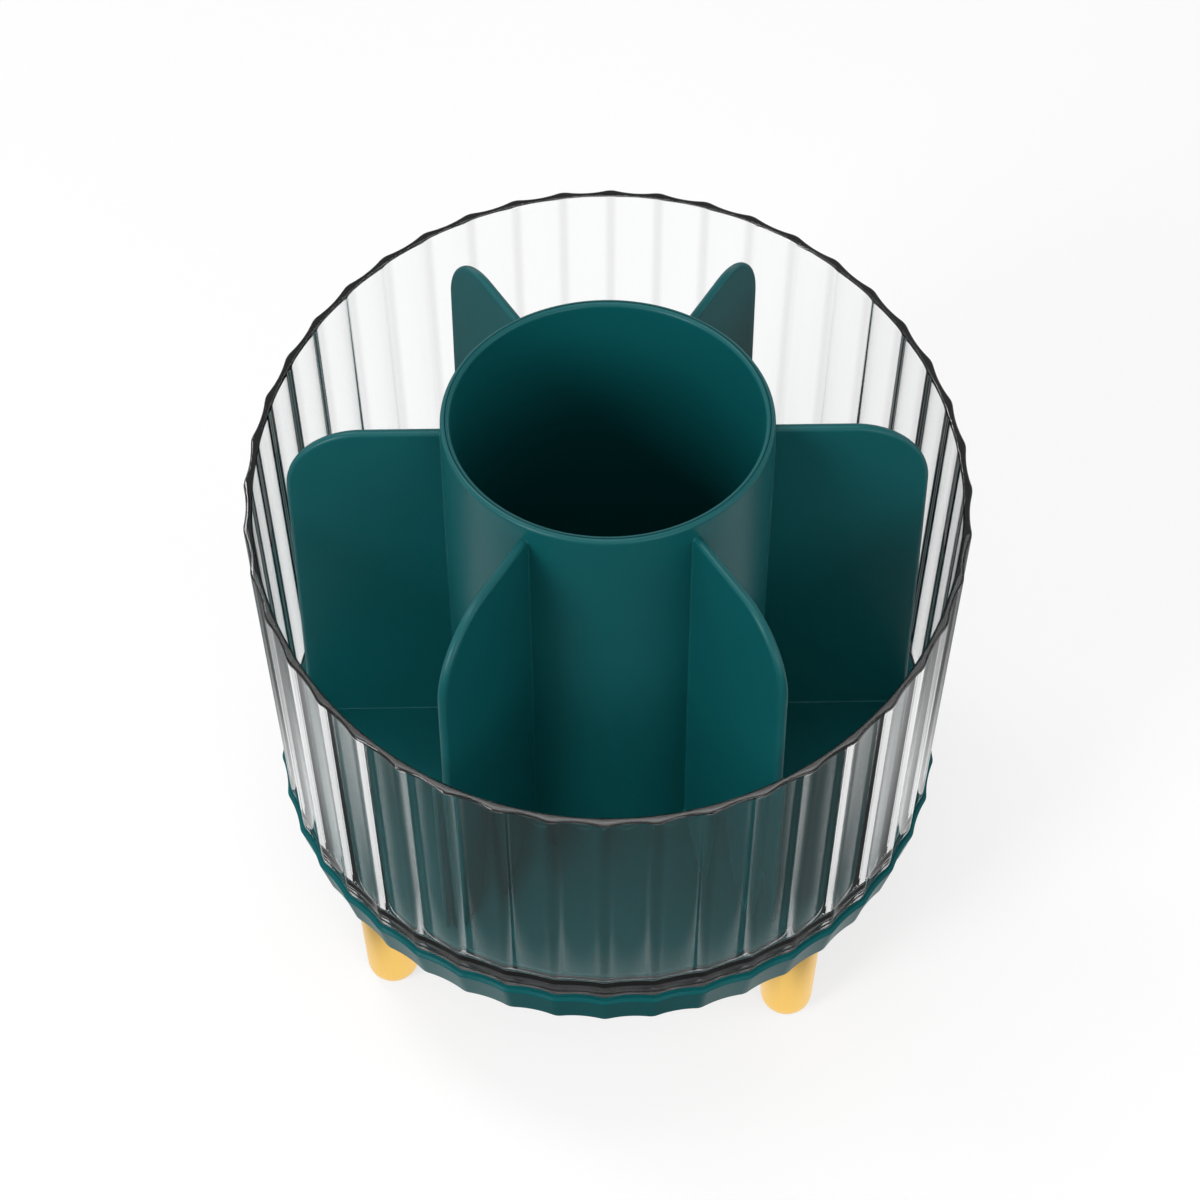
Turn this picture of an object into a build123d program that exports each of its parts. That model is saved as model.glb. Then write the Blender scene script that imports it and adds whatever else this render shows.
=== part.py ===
from build123d import *

import os
from math import atan2, cos, degrees, pi, sin

# Turning makeup brush organizer: a clear fluted tub with a slanted rim turns on a ball ring
# over a fluted base with four gold feet, and a green divider insert stands loose in the tub.
# Millimetres, +Z up, the origin on the turning axis at the height of the surface it stands on.
# The low side of the rim faces -Y.

# Clearances and overruns
cut_overrun = 5.0
running_gap = 0.5
journal_clearance = 0.05
ball_clearance = 0.15
register_clearance = 0.3
insert_clearance = 0.7
screw_clearance = 0.25

# Fluting, shared by the tub and the base so that their ridges line up
flute_count = 44
flute_first_angle = -0.5

# Feet, named anticlockwise from the rear right
foot_names = ["foot_rear_right", "foot_rear_left", "foot_front_left", "foot_front_right"]
foot_first_angle = 39.5
foot_inset = 1.4
foot_height = 31.0
foot_top_radius = 6.5
foot_end_radius = 5.8
foot_end_round = 4.4
foot_screw_radius = 1.25
foot_screw_length = 12.0

# Base tray
base_height = 10.5
base_floor = 2.5
base_wall = 2.0
base_lip = 0.9
base_taper = 2.2
base_flute_depth = 0.6
base_ridge_round = 4.0
base_edge_bevel = 0.6
base_hub_radius = 8.0
base_hub_height = 3.5

# Ball ring
ball_count = 24
ball_radius = 2.0
ball_seat_depth = 0.8
track_half_width = 5.0
track_to_foot_screw = 5.5
cage_half_width = 3.6
cage_thickness = 1.4

# Turntable plate and its pivot
turntable_thickness = 2.2
pivot_post_radius = 3.5
pivot_screw_radius = 1.5
pivot_screw_length = 9.0
pivot_washer_radius = 6.0
pivot_washer_thickness = 0.8
turntable_screw_count = 4
turntable_screw_radius = 1.2
turntable_screw_length = 7.0
turntable_screw_head_radius = 2.4
screw_boss_radius = 3.2
screw_boss_height = 4.0
screw_boss_to_track = 13.8

# Pan heads, as multiples of the shank radius, and the cross recess in them
pan_head_radius_share = 2.0
pan_head_height_share = 1.4
recess_width_share = 0.5
recess_length_share = 2.2
recess_depth_share = 0.8

# The most of a wall or a radius that an edge rounding may take
wall_round_share = 0.45
end_round_share = 0.9

# Clear tub
tub_ridge_radius = 75.6
tub_draft = 1.2
tub_flute_depth = 0.65
tub_ridge_round = 3.5
tub_wall = 2.0
tub_skirt_wall = 2.9
tub_floor = 2.2
tub_floor_round = 1.2
rim_front_height = 65.8
rim_back_height = 94.4

# Divider insert
insert_height = 96.9
insert_floor = 2.1
insert_angle = 1.0
tube_top_radius = 33.7
tube_draft = 1.0
tube_wall = 2.0
tube_rim_round = 0.8
fin_count = 6
fin_drop = 3.8
fin_thickness = 2.0
fin_top_gap = 6.6
fin_bottom_gap = 4.2
fin_corner_radius = 16.5
fin_edge_round = 0.9

# Heights and radii that follow
base_bottom = foot_height
base_floor_top = base_bottom + base_floor
base_top = base_bottom + base_height
base_shoulder = base_top - base_edge_bevel
tub_bottom_ridge_radius = tub_ridge_radius - tub_draft
base_top_ridge_radius = tub_bottom_ridge_radius + base_lip
base_bottom_ridge_radius = base_top_ridge_radius - base_taper
base_bottom_valley_radius = base_bottom_ridge_radius - base_flute_depth
base_inner_radius = base_bottom_valley_radius - base_wall

foot_count = len(foot_names)
foot_circle_radius = base_bottom_valley_radius - foot_inset - foot_top_radius
foot_screw_head_radius = foot_screw_radius * pan_head_radius_share

tub_bottom = base_top + running_gap
tub_floor_bottom = tub_bottom + turntable_thickness
tub_floor_top = tub_floor_bottom + tub_floor
tub_blank_height = rim_back_height + cut_overrun
tub_blank_top = tub_bottom + tub_blank_height
tub_draft_angle = degrees(atan2(tub_draft, rim_back_height))
tub_inner_radius = tub_bottom_ridge_radius - tub_wall
tub_blank_inner_radius = tub_inner_radius + tub_draft * tub_blank_height / rim_back_height
tub_skirt_radius = tub_bottom_ridge_radius - tub_skirt_wall
rim_slope = (rim_back_height - rim_front_height) / (2 * tub_ridge_radius)
rim_middle = tub_bottom + (rim_front_height + rim_back_height) / 2

ball_circle_radius = foot_circle_radius - foot_screw_head_radius - track_to_foot_screw - track_half_width
ball_height = (base_floor_top + tub_bottom) / 2
groove_radius = ball_radius + ball_clearance
lower_track_top = ball_height - ball_radius + ball_seat_depth
upper_track_bottom = ball_height + ball_radius - ball_seat_depth

turntable_radius = tub_skirt_radius - register_clearance
turntable_screw_circle_radius = (
    ball_circle_radius - track_half_width - screw_boss_to_track - screw_boss_radius
)
post_bottom = base_bottom - journal_clearance

insert_floor_radius = tub_inner_radius - insert_clearance
insert_floor_top = tub_floor_top + insert_floor
insert_top = tub_floor_top + insert_height
insert_edge_round = min(tub_floor_round, insert_floor * end_round_share)
tube_bottom_radius = tube_top_radius + tube_draft
fin_top = insert_top - fin_drop
fin_root = tube_top_radius - tube_wall / 2
fin_top_reach = tub_inner_radius - fin_top_gap
fin_bottom_reach = tub_inner_radius - fin_bottom_gap


def fluted_outline(ridge_radius, flute_depth, ridge_round, height):
    """A ring of shallow concave flutes that meet in rounded ridges."""
    half_pitch = pi / flute_count
    valley_radius = ridge_radius - flute_depth
    round_centre = ridge_radius - ridge_round
    flute_radius = (
        valley_radius**2 + round_centre**2 - ridge_round**2
        - 2 * valley_radius * round_centre * cos(half_pitch)
    ) / (2 * (round_centre * cos(half_pitch) - valley_radius + ridge_round))
    flute_centre = Vector(valley_radius + flute_radius, 0)
    ridge_centre = Vector(round_centre * cos(half_pitch), round_centre * sin(half_pitch))
    towards_flute = (flute_centre - ridge_centre).normalized()
    meeting = ridge_centre + towards_flute * ridge_round
    meeting_before = Vector(meeting.X, -meeting.Y)
    ridge_tip = Vector(ridge_radius * cos(half_pitch), ridge_radius * sin(half_pitch))
    pitch_angle = 360 / flute_count
    flute = [meeting_before, Vector(valley_radius, 0), meeting]
    ridge = [meeting, ridge_tip, meeting_before.rotate(Axis.Z, pitch_angle)]
    with BuildSketch(Plane.XY.offset(height)) as outline:
        with BuildLine():
            for step in range(flute_count):
                turn = flute_first_angle + (step + 0.5) * pitch_angle
                ThreePointArc(*[point.rotate(Axis.Z, turn) for point in flute])
                ThreePointArc(*[point.rotate(Axis.Z, turn) for point in ridge])
        make_face()
    return outline.sketch


def ring(inner_radius, outer_radius, bottom, top):
    """A plain flat ring between two heights."""
    with BuildPart() as piece:
        with BuildSketch(Plane.XY.offset(bottom)):
            Circle(outer_radius)
            Circle(inner_radius, mode=Mode.SUBTRACT)
        extrude(amount=top - bottom)
    return piece.part


def ball_groove():
    """The round channel that the balls roll in, to be cut from a track."""
    with BuildPart() as piece:
        with BuildSketch(Plane.XZ):
            with Locations((ball_circle_radius, ball_height)):
                Circle(groove_radius)
        revolve(axis=Axis.Z)
    return piece.part


def pan_screw(shank_radius, length):
    """A cross-recessed pan-head screw that stands on its point: head down, seat at Z = 0, shank up."""
    head_radius = shank_radius * pan_head_radius_share
    head_height = shank_radius * pan_head_height_share
    with BuildPart() as piece:
        with BuildSketch(Plane.XY.offset(-head_height)):
            Circle(head_radius)
        extrude(amount=head_height)
        fillet(piece.edges().group_by(Axis.Z)[0], radius=head_height / 2)
        with BuildSketch():
            Circle(shank_radius)
        extrude(amount=length)
        chamfer(piece.edges().group_by(Axis.Z)[-1], length=shank_radius / 2)
        with BuildSketch(Plane.XY.offset(-head_height)):
            Rectangle(shank_radius * recess_length_share, shank_radius * recess_width_share)
            Rectangle(shank_radius * recess_width_share, shank_radius * recess_length_share)
        extrude(amount=shank_radius * recess_depth_share, mode=Mode.SUBTRACT)
    return piece.part


# Base tray: a tapered fluted wall with a bevelled shoulder, a flat floor, the lower ball track
# and the hub that the pivot post turns in
with BuildPart() as base_tray:
    wall_rings = [
        (base_bottom_ridge_radius, base_bottom),
        (base_top_ridge_radius, base_shoulder),
        (base_top_ridge_radius - base_edge_bevel, base_top),
    ]
    wall_outlines = [
        fluted_outline(radius, base_flute_depth, base_ridge_round, height) for radius, height in wall_rings
    ]
    loft(wall_outlines, ruled=True)
    with BuildSketch(Plane.XY.offset(base_floor_top)):
        Circle(base_inner_radius)
    extrude(amount=base_height + cut_overrun, mode=Mode.SUBTRACT)
    add(ring(ball_circle_radius - track_half_width, ball_circle_radius + track_half_width,
             base_floor_top, lower_track_top))
    add(ball_groove(), mode=Mode.SUBTRACT)
    with BuildSketch(Plane.XY.offset(base_floor_top)):
        Circle(base_hub_radius)
    extrude(amount=base_hub_height)
    with Locations(Plane.XY.offset(base_floor_top + base_hub_height)):
        Hole(pivot_post_radius + journal_clearance)
    with Locations(Plane.XY.offset(base_floor_top)):
        with PolarLocations(foot_circle_radius, foot_count, start_angle=foot_first_angle):
            Hole(foot_screw_radius + screw_clearance)
base_tray.part.label = "base_tray"

# Feet: tapered round pegs with a rounded end, each bored from above for its screw
with BuildPart() as foot:
    with BuildSketch(Plane.XZ) as foot_profile:
        with BuildLine():
            Polyline(
                (0, 0),
                (foot_end_radius, 0),
                (foot_top_radius, foot_height),
                (0, foot_height),
                close=True,
            )
        make_face()
        end_corner = foot_profile.vertices().group_by(Axis.Y)[0].sort_by(Axis.X)[-1]
        fillet(end_corner, radius=min(foot_end_round, foot_end_radius * end_round_share))
    revolve(axis=Axis.Z)
    with Locations(Plane.XY.offset(foot_height)):
        Hole(foot_screw_radius, depth=foot_screw_length - base_floor + screw_clearance)

feet = {}
for index, foot_name in enumerate(foot_names):
    angle = foot_first_angle + index * 360 / foot_count
    with BuildPart() as placed_foot:
        with PolarLocations(foot_circle_radius, 1, start_angle=angle):
            add(foot.part)
    placed_foot.part.label = foot_name
    feet[foot_name] = placed_foot.part

# Screws that hold the feet, driven down from inside the tray
with BuildPart() as foot_screws:
    with Locations(Plane.XY.offset(base_floor_top)):
        with PolarLocations(foot_circle_radius, foot_count, start_angle=foot_first_angle):
            add(pan_screw(foot_screw_radius, foot_screw_length), rotation=(180, 0, 0))
foot_screws.part.label = "foot_screws"

# Ball ring: a flat cage with a pocket for each steel ball
with BuildPart() as ball_cage:
    add(ring(ball_circle_radius - cage_half_width, ball_circle_radius + cage_half_width,
             ball_height - cage_thickness / 2, ball_height + cage_thickness / 2))
    with Locations(Plane.XY.offset(ball_height + cage_thickness / 2)):
        with PolarLocations(ball_circle_radius, ball_count):
            Hole(ball_radius + ball_clearance)
ball_cage.part.label = "ball_cage"

with BuildPart() as bearing_balls:
    with Locations((0, 0, ball_height)):
        with PolarLocations(ball_circle_radius, ball_count):
            Sphere(ball_radius)
bearing_balls.part.label = "bearing_balls"

# Turntable plate: fills the tub's skirt, with the upper ball track, the pivot post and the bosses
# for the screws that hold the tub
with BuildPart() as turntable_plate:
    with BuildSketch(Plane.XY.offset(tub_bottom)):
        Circle(turntable_radius)
    extrude(amount=turntable_thickness)
    add(ring(ball_circle_radius - track_half_width, ball_circle_radius + track_half_width,
             upper_track_bottom, tub_bottom))
    add(ball_groove(), mode=Mode.SUBTRACT)
    with BuildSketch(Plane.XY.offset(post_bottom)):
        Circle(pivot_post_radius)
    extrude(amount=tub_bottom - post_bottom)
    with Locations(Plane(origin=(0, 0, post_bottom), z_dir=(0, 0, -1))):
        Hole(pivot_screw_radius, depth=pivot_screw_length - pivot_washer_thickness + screw_clearance)
    with BuildSketch(Plane.XY.offset(tub_bottom - screw_boss_height)):
        with PolarLocations(turntable_screw_circle_radius, turntable_screw_count):
            Circle(screw_boss_radius)
    extrude(amount=screw_boss_height)
    with Locations(Plane.XY.offset(tub_floor_bottom)):
        with PolarLocations(turntable_screw_circle_radius, turntable_screw_count):
            Hole(turntable_screw_radius, depth=turntable_screw_length - tub_floor + screw_clearance)
turntable_plate.part.label = "turntable_plate"

# Pivot screw and washer, which trap the base between the washer and the turntable's post
with BuildPart() as pivot_washer:
    add(ring(pivot_screw_radius, pivot_washer_radius, post_bottom - pivot_washer_thickness, post_bottom))
pivot_washer.part.label = "pivot_washer"

with BuildPart() as pivot_screw:
    with Locations((0, 0, post_bottom - pivot_washer_thickness)):
        add(pan_screw(pivot_screw_radius, pivot_screw_length))
pivot_screw.part.label = "pivot_screw"

# Clear tub: fluted outside and smooth inside, with a skirt round the turntable and a slanted rim
with BuildPart() as clear_tub:
    add(fluted_outline(tub_bottom_ridge_radius, tub_flute_depth, tub_ridge_round, tub_bottom))
    extrude(amount=tub_blank_height, taper=-tub_draft_angle)
    with BuildSketch(Plane.XZ) as tub_hollow:
        with BuildLine():
            Polyline(
                (0, tub_floor_top),
                (tub_inner_radius, tub_floor_top),
                (tub_blank_inner_radius, tub_blank_top),
                (0, tub_blank_top),
                close=True,
            )
        make_face()
        hollow_corner = tub_hollow.vertices().group_by(Axis.Y)[0].sort_by(Axis.X)[-1]
        fillet(hollow_corner, radius=tub_floor_round)
    revolve(axis=Axis.Z, mode=Mode.SUBTRACT)
    with BuildSketch(Plane.XY.offset(tub_bottom)):
        Circle(tub_skirt_radius)
    extrude(amount=turntable_thickness, mode=Mode.SUBTRACT)
    split(bisect_by=Plane(origin=(0, 0, rim_middle), z_dir=(0, -rim_slope, 1)), keep=Keep.BOTTOM)
    with Locations(Plane.XY.offset(tub_floor_top)):
        with PolarLocations(turntable_screw_circle_radius, turntable_screw_count):
            CounterSinkHole(
                turntable_screw_radius + screw_clearance,
                turntable_screw_head_radius + screw_clearance,
                counter_sink_angle=90,
            )
clear_tub.part.label = "clear_tub"

# Countersunk screws that hold the tub on the turntable, flush with the tub's floor
turntable_screw_neck = tub_floor_top - (turntable_screw_head_radius - turntable_screw_radius)
turntable_screw_tip = tub_floor_top - turntable_screw_length
with BuildPart() as turntable_screw:
    with BuildSketch(Plane.XZ):
        with BuildLine():
            Polyline(
                (0, tub_floor_top),
                (turntable_screw_head_radius, tub_floor_top),
                (turntable_screw_radius, turntable_screw_neck),
                (turntable_screw_radius, turntable_screw_tip),
                (0, turntable_screw_tip),
                close=True,
            )
        make_face()
    revolve(axis=Axis.Z)
    with BuildSketch(Plane.XY.offset(tub_floor_top)):
        Rectangle(turntable_screw_radius * recess_length_share, turntable_screw_radius * recess_width_share)
        Rectangle(turntable_screw_radius * recess_width_share, turntable_screw_radius * recess_length_share)
    extrude(amount=-turntable_screw_radius * recess_depth_share, mode=Mode.SUBTRACT)

with BuildPart() as turntable_screws:
    with PolarLocations(turntable_screw_circle_radius, turntable_screw_count):
        add(turntable_screw.part)
turntable_screws.part.label = "turntable_screws"

# Divider insert: one moulding of a round floor, a centre tube and its radial fins
with BuildPart() as fin:
    with BuildSketch(Plane.XZ) as fin_profile:
        with BuildLine():
            Polyline(
                (fin_root, tub_floor_top + insert_floor / 2),
                (fin_bottom_reach, tub_floor_top + insert_floor / 2),
                (fin_top_reach, fin_top),
                (fin_root, fin_top),
                close=True,
            )
        make_face()
        fin_corner = fin_profile.vertices().group_by(Axis.Y)[-1].sort_by(Axis.X)[-1]
        fillet(fin_corner, radius=fin_corner_radius)
    extrude(amount=fin_thickness / 2, both=True)
    sides = fin.faces().filter_by(Axis.Y)
    free_edges = [edge for side in sides for edge in side.edges().sort_by(Axis.Z)[1:].sort_by(Axis.X)[1:]]
    fillet(free_edges, radius=min(fin_edge_round, fin_thickness * wall_round_share))

with BuildPart() as divider_insert:
    with BuildSketch(Plane.XZ) as insert_profile:
        with BuildLine():
            Polyline(
                (0, tub_floor_top),
                (insert_floor_radius, tub_floor_top),
                (insert_floor_radius, insert_floor_top),
                (tube_bottom_radius, insert_floor_top),
                (tube_top_radius, insert_top),
                (tube_top_radius - tube_wall, insert_top),
                (tube_top_radius - tube_wall, insert_floor_top),
                (0, insert_floor_top),
                close=True,
            )
        make_face()
        rim_corners = insert_profile.vertices().group_by(Axis.Y)[-1]
        fillet(rim_corners, radius=min(tube_rim_round, tube_wall * wall_round_share))
        floor_corner = insert_profile.vertices().group_by(Axis.Y)[0].sort_by(Axis.X)[-1]
        fillet(floor_corner, radius=insert_edge_round)
    revolve(axis=Axis.Z)
    with PolarLocations(0, fin_count, start_angle=insert_angle):
        add(fin.part)
divider_insert.part.label = "divider_insert"

os.makedirs("parts", exist_ok=True)
pieces = [
    base_tray.part, *feet.values(), foot_screws.part, ball_cage.part, bearing_balls.part,
    turntable_plate.part, pivot_washer.part, pivot_screw.part, clear_tub.part,
    turntable_screws.part, divider_insert.part,
]
for piece in pieces:
    export_step(piece, f"parts/{piece.label}.step")
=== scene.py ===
"""Turning makeup brush organizer: finished surfaces round the packed model, and a stage to see them on."""

from math import atan2, pi, radians

import bpy
import numpy as np
from bpy.props import FloatProperty, FloatVectorProperty, IntProperty, PointerProperty
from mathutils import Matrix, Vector


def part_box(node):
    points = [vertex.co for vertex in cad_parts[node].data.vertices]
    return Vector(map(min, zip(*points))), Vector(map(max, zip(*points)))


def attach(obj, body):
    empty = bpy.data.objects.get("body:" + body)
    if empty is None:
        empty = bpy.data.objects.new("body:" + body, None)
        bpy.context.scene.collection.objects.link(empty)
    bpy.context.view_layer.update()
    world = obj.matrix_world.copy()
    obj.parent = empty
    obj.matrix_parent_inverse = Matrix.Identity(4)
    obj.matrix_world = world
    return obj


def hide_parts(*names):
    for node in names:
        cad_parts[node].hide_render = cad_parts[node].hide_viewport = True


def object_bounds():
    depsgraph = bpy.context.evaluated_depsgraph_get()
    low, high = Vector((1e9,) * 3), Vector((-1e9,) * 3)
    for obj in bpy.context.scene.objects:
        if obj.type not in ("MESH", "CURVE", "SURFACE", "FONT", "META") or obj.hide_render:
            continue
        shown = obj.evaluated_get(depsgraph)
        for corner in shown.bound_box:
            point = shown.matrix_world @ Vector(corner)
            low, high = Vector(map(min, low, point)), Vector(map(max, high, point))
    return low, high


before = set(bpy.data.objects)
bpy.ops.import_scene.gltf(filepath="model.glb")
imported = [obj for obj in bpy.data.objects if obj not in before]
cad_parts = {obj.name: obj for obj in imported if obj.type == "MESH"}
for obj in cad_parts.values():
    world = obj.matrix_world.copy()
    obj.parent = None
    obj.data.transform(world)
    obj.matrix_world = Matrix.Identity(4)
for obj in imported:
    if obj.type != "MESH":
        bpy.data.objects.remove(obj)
cad_low, cad_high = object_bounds()

bl_info = {
    "name": "Brush Organizer",
    "version": (1, 0, 0),
    "blender": (4, 5, 0),
    "location": "View3D > Sidebar > Organizer",
    "description": "Makes the surfaces and finishes of a turning makeup brush organizer",
    "category": "Add Mesh",
}

# Boxes of the packed nodes, in metres, that the sizes below start from
tub_low, tub_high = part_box("clear_tub")
base_low, base_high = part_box("base_tray")
insert_low, insert_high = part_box("divider_insert")
plate_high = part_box("turntable_plate")[1]
screws_low, screws_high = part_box("turntable_screws")

# Mesh fineness: points nearer than the weld length become one, and a half flute has these stops,
# from its valley at 0 to its ridge at 1
WELD_LENGTH = 1e-8
SHARP_ANGLE = radians(50)
ROUND_STEPS = 5
HALF_FLUTE_SHARES = (0, 0.18, 0.36, 0.54, 0.68, 0.77, 0.83, 0.88, 0.94, 1)
WALL_SHARES = (0, 0.003, 0.1, 0.3, 0.5, 0.7, 0.9, 0.997, 1)
TURNED_COLUMNS = 256
FOOT_COLUMNS = 96
RIM_PASSES = 3
OUTER_FLOOR_RINGS = 5
INNER_FLOOR_RINGS = 4
GROOVE_POINTS = 13

# Stops of a floor sector, from its outline at 1 to its screw hole at 0, and points across each of its sides
SECTOR_SHARES = (1, 0.5, 0.2, 0.05)
SECTOR_SIDE_POINTS = 12

# Points round a fin's corner, up its free edge and along it, and stops of a swell in units of its radius
FIN_CORNER_POINTS = 25
FIN_RISE_POINTS = 9
FIN_REACH_POINTS = 14
SWELL_SHARES = (0, 0.06, 0.15, 0.3, 0.5, 0.75, 1, 1.3)

# Screws through the tub's floor, evenly round it from the right-hand side
SCREW_COUNT = 4

FOOT_NODES = ("foot_rear_right", "foot_rear_left", "foot_front_left", "foot_front_right")

# Finishes: gloss is a Specular IOR Level, the painted ridge shade fades over a span in flutes, and a deep
# share is how much of a colour its deeper tone keeps
TEAL_GLOSS = 0.2
MATT_TEAL_GLOSS = 0.07
CLEAR_GLOSS = 0.2
CLEAR_IOR = 1.49
PAINTED_RIDGE_SHADE_SPAN = (0.02, 0.16)
MOULDED_DEEP_SHARE = 0.85
METAL_DEEP_SHARE = 0.9
WHITE = (1, 1, 1, 1)

# The floor in gloss: where its white begins and ends. Bearings go from -1 in front to 1 behind, and the clear
# ones are for what gloss shows through clear plastic. The pool's edge is in metres from the axis.
POOL_FRONT = (-0.97, -0.88)
SIDE_FRONT = (-0.45, -0.1)
SIDE_BACK = (0.0, 0.35)
CLEAR_SIDE_FRONT = (-0.75, -0.45)
CLEAR_POOL_EDGE = (0.095, 0.11)
CLEAR_BACK_WHITE = 0.1

# The room: heights from 0 at the horizon to 1 overhead, where its light falls off and its gloss changes
OVERHEAD_RISE = (0.4, 0.95)
WALL_RISE = (0.25, 0.5)
ZENITH_RISE = (0.955, 0.985)

# Lamps: place, width and height in metres, and power in watts
LAMPS = {
    "top_lamp": ((0.0, 0.18, 1.2), 0.8, 0.35, 1.5),
    "edge_lamp": ((-0.45, 0.3, 1.0), 0.25, 0.25, 2.5),
    "front_lamp": ((0.5, -0.87, 0.45), 0.4, 0.4, 1.9),
    "left_lamp": ((-0.72, -0.68, 0.6), 0.3, 0.5, 6.4),
    "right_lamp": ((0.9, -0.25, 0.5), 0.35, 0.9, 1.2),
    "high_lamp": ((0.0, -0.5, 0.95), 0.3, 0.3, 0.8),
}


def length(name, description, default):
    """A size in metres that a user may change."""
    return FloatProperty(name=name, description=description, default=default, precision=5, unit="LENGTH")


def angle(name, description, default):
    """An angle that a user may change, in radians and shown in degrees."""
    return FloatProperty(name=name, description=description, default=default, subtype="ANGLE")


def colour(name, description, default):
    """A linear colour that a user may change."""
    return FloatVectorProperty(
        name=name, description=description, default=default, subtype="COLOR", size=3, min=0, max=1
    )


def share(name, description, default):
    """A plain number from 0 upwards that a user may change."""
    return FloatProperty(name=name, description=description, default=default, min=0, precision=4)


class FluteSizes(bpy.types.PropertyGroup):
    """The fluting that the tub and the base have in common"""

    count: IntProperty(name="Flutes", description="Flutes round the tub and the base", default=44, min=8)
    first_angle: angle("First ridge", "Angle of the first ridge from the right-hand side", radians(-0.5))


class TubSizes(bpy.types.PropertyGroup):
    """The clear fluted tub"""

    ridge_radius: length("Ridge radius", "Radius over the ridges at the lower edge", 0.0744)
    draft: length("Draft", "How much wider the radius is at the high side of the rim", 0.0012)
    flute_depth: length("Flute depth", "Depth of a flute below the ridges", 0.00065)
    ridge_round: length("Ridge rounding", "Radius of a ridge at the lower edge", 0.0035)
    wall: length("Wall", "Thickness from the ridges to the smooth inside", 0.002)
    skirt_wall: length("Skirt wall", "Thickness of the skirt round the turntable", 0.0029)
    floor_round: length("Floor rounding", "Radius where the inside wall meets the floor", 0.0012)
    edge_round: length("Edge rounding", "Radius of the rim's and the skirt's edges", 0.00045)
    front_height: length("Front height", "Height of the low side of the rim above the skirt", 0.0658)
    seat_gap: length("Seat gap", "Air between the floor and the turntable under it", 0.00004)
    screw_hole: length("Screw hole", "Radius of the screw holes in the floor", 0.00145)
    screw_sink: length("Screw countersink", "Radius of the screw holes at the top of the floor", 0.00265)


class InsertSizes(bpy.types.PropertyGroup):
    """The divider insert: a floor, a centre tube and its fins"""

    floor: length("Floor", "Thickness of the floor", 0.0021)
    floor_round: length("Floor rounding", "Radius of the floor's lower edge", 0.0012)
    edge_round: length("Floor edge rounding", "Radius of the floor's upper edge", 0.0004)
    tube_radius: length("Tube radius", "Outer radius of the centre tube at its top", 0.0337)
    tube_draft: length("Tube draft", "How much wider the tube is at the floor", 0.001)
    tube_wall: length("Tube wall", "Thickness of the tube at its top", 0.002)
    tube_round: length("Tube rim rounding", "Radius of the tube's rim", 0.0009)
    fin_count: IntProperty(name="Fins", description="Fins round the tube", default=6, min=2)
    fin_angle: angle("First fin", "Angle of the first fin from the right-hand side", radians(1))
    fin_drop: length("Fin drop", "Height of the tube above the fins", 0.0038)
    fin_thickness: length("Fin thickness", "Thickness of a fin", 0.002)
    fin_top_reach: length("Fin reach at the top", "Distance of a fin's upper end from the axis", 0.0658)
    fin_foot_reach: length("Fin reach at the floor", "Distance of a fin's lower end from the axis", 0.0682)
    fin_corner: length("Fin corner", "Radius of a fin's upper corner", 0.0165)
    fin_round: length("Fin edge rounding", "Radius of a fin's free edge", 0.0009)
    root_round: length("Root rounding", "Radius where a fin meets the tube and the floor", 0.00025)
    seat_gap: length("Seat gap", "Air between the insert and the tub's floor", 0.00004)


class BaseSizes(bpy.types.PropertyGroup):
    """The fluted base tray"""

    top_ridge_radius: length("Shoulder radius", "Radius over the ridges at the shoulder", 0.0753)
    taper: length("Taper", "How much smaller the radius is at the lower edge", 0.0022)
    flute_depth: length("Flute depth", "Depth of a flute below the ridges", 0.0006)
    ridge_round: length("Ridge rounding", "Radius of a ridge", 0.004)
    bevel: length("Bevel", "Width of the bevel on the shoulder", 0.0006)
    shoulder_round: length("Shoulder rounding", "Radius of the bevel's edges", 0.0003)
    edge_round: length("Edge rounding", "Radius of the lower edge", 0.0006)
    inner_radius: length("Inner radius", "Radius of the wall's inside", 0.0705)
    floor: length("Floor", "Thickness of the floor", 0.0025)
    inner_round: length("Inner rounding", "Radius of the corners inside", 0.0005)
    track_radius: length("Track radius", "Radius of the circle that the balls run on", 0.0516)
    track_half_width: length("Track half width", "Half the width of the ball track", 0.005)
    track_height: length("Track height", "Height of the ball track above the floor", 0.00305)
    groove_radius: length("Groove radius", "Radius of the groove's section", 0.00215)
    groove_height: length("Groove height", "Height of the groove's centre above the floor", 0.00425)
    hub_radius: length("Hub radius", "Outer radius of the pivot hub", 0.008)
    hub_height: length("Hub height", "Height of the pivot hub above the floor", 0.0035)
    bore: length("Bore", "Radius of the hole in the pivot hub", 0.00355)


class FootSizes(bpy.types.PropertyGroup):
    """The gold feet"""

    end_radius: length("End radius", "Radius of the foot at the surface it stands on", 0.0058)
    end_round: length("End rounding", "Radius of the foot's lower edge", 0.0044)
    top_round: length("Top rounding", "Radius of the foot's upper edge", 0.0002)


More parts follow.
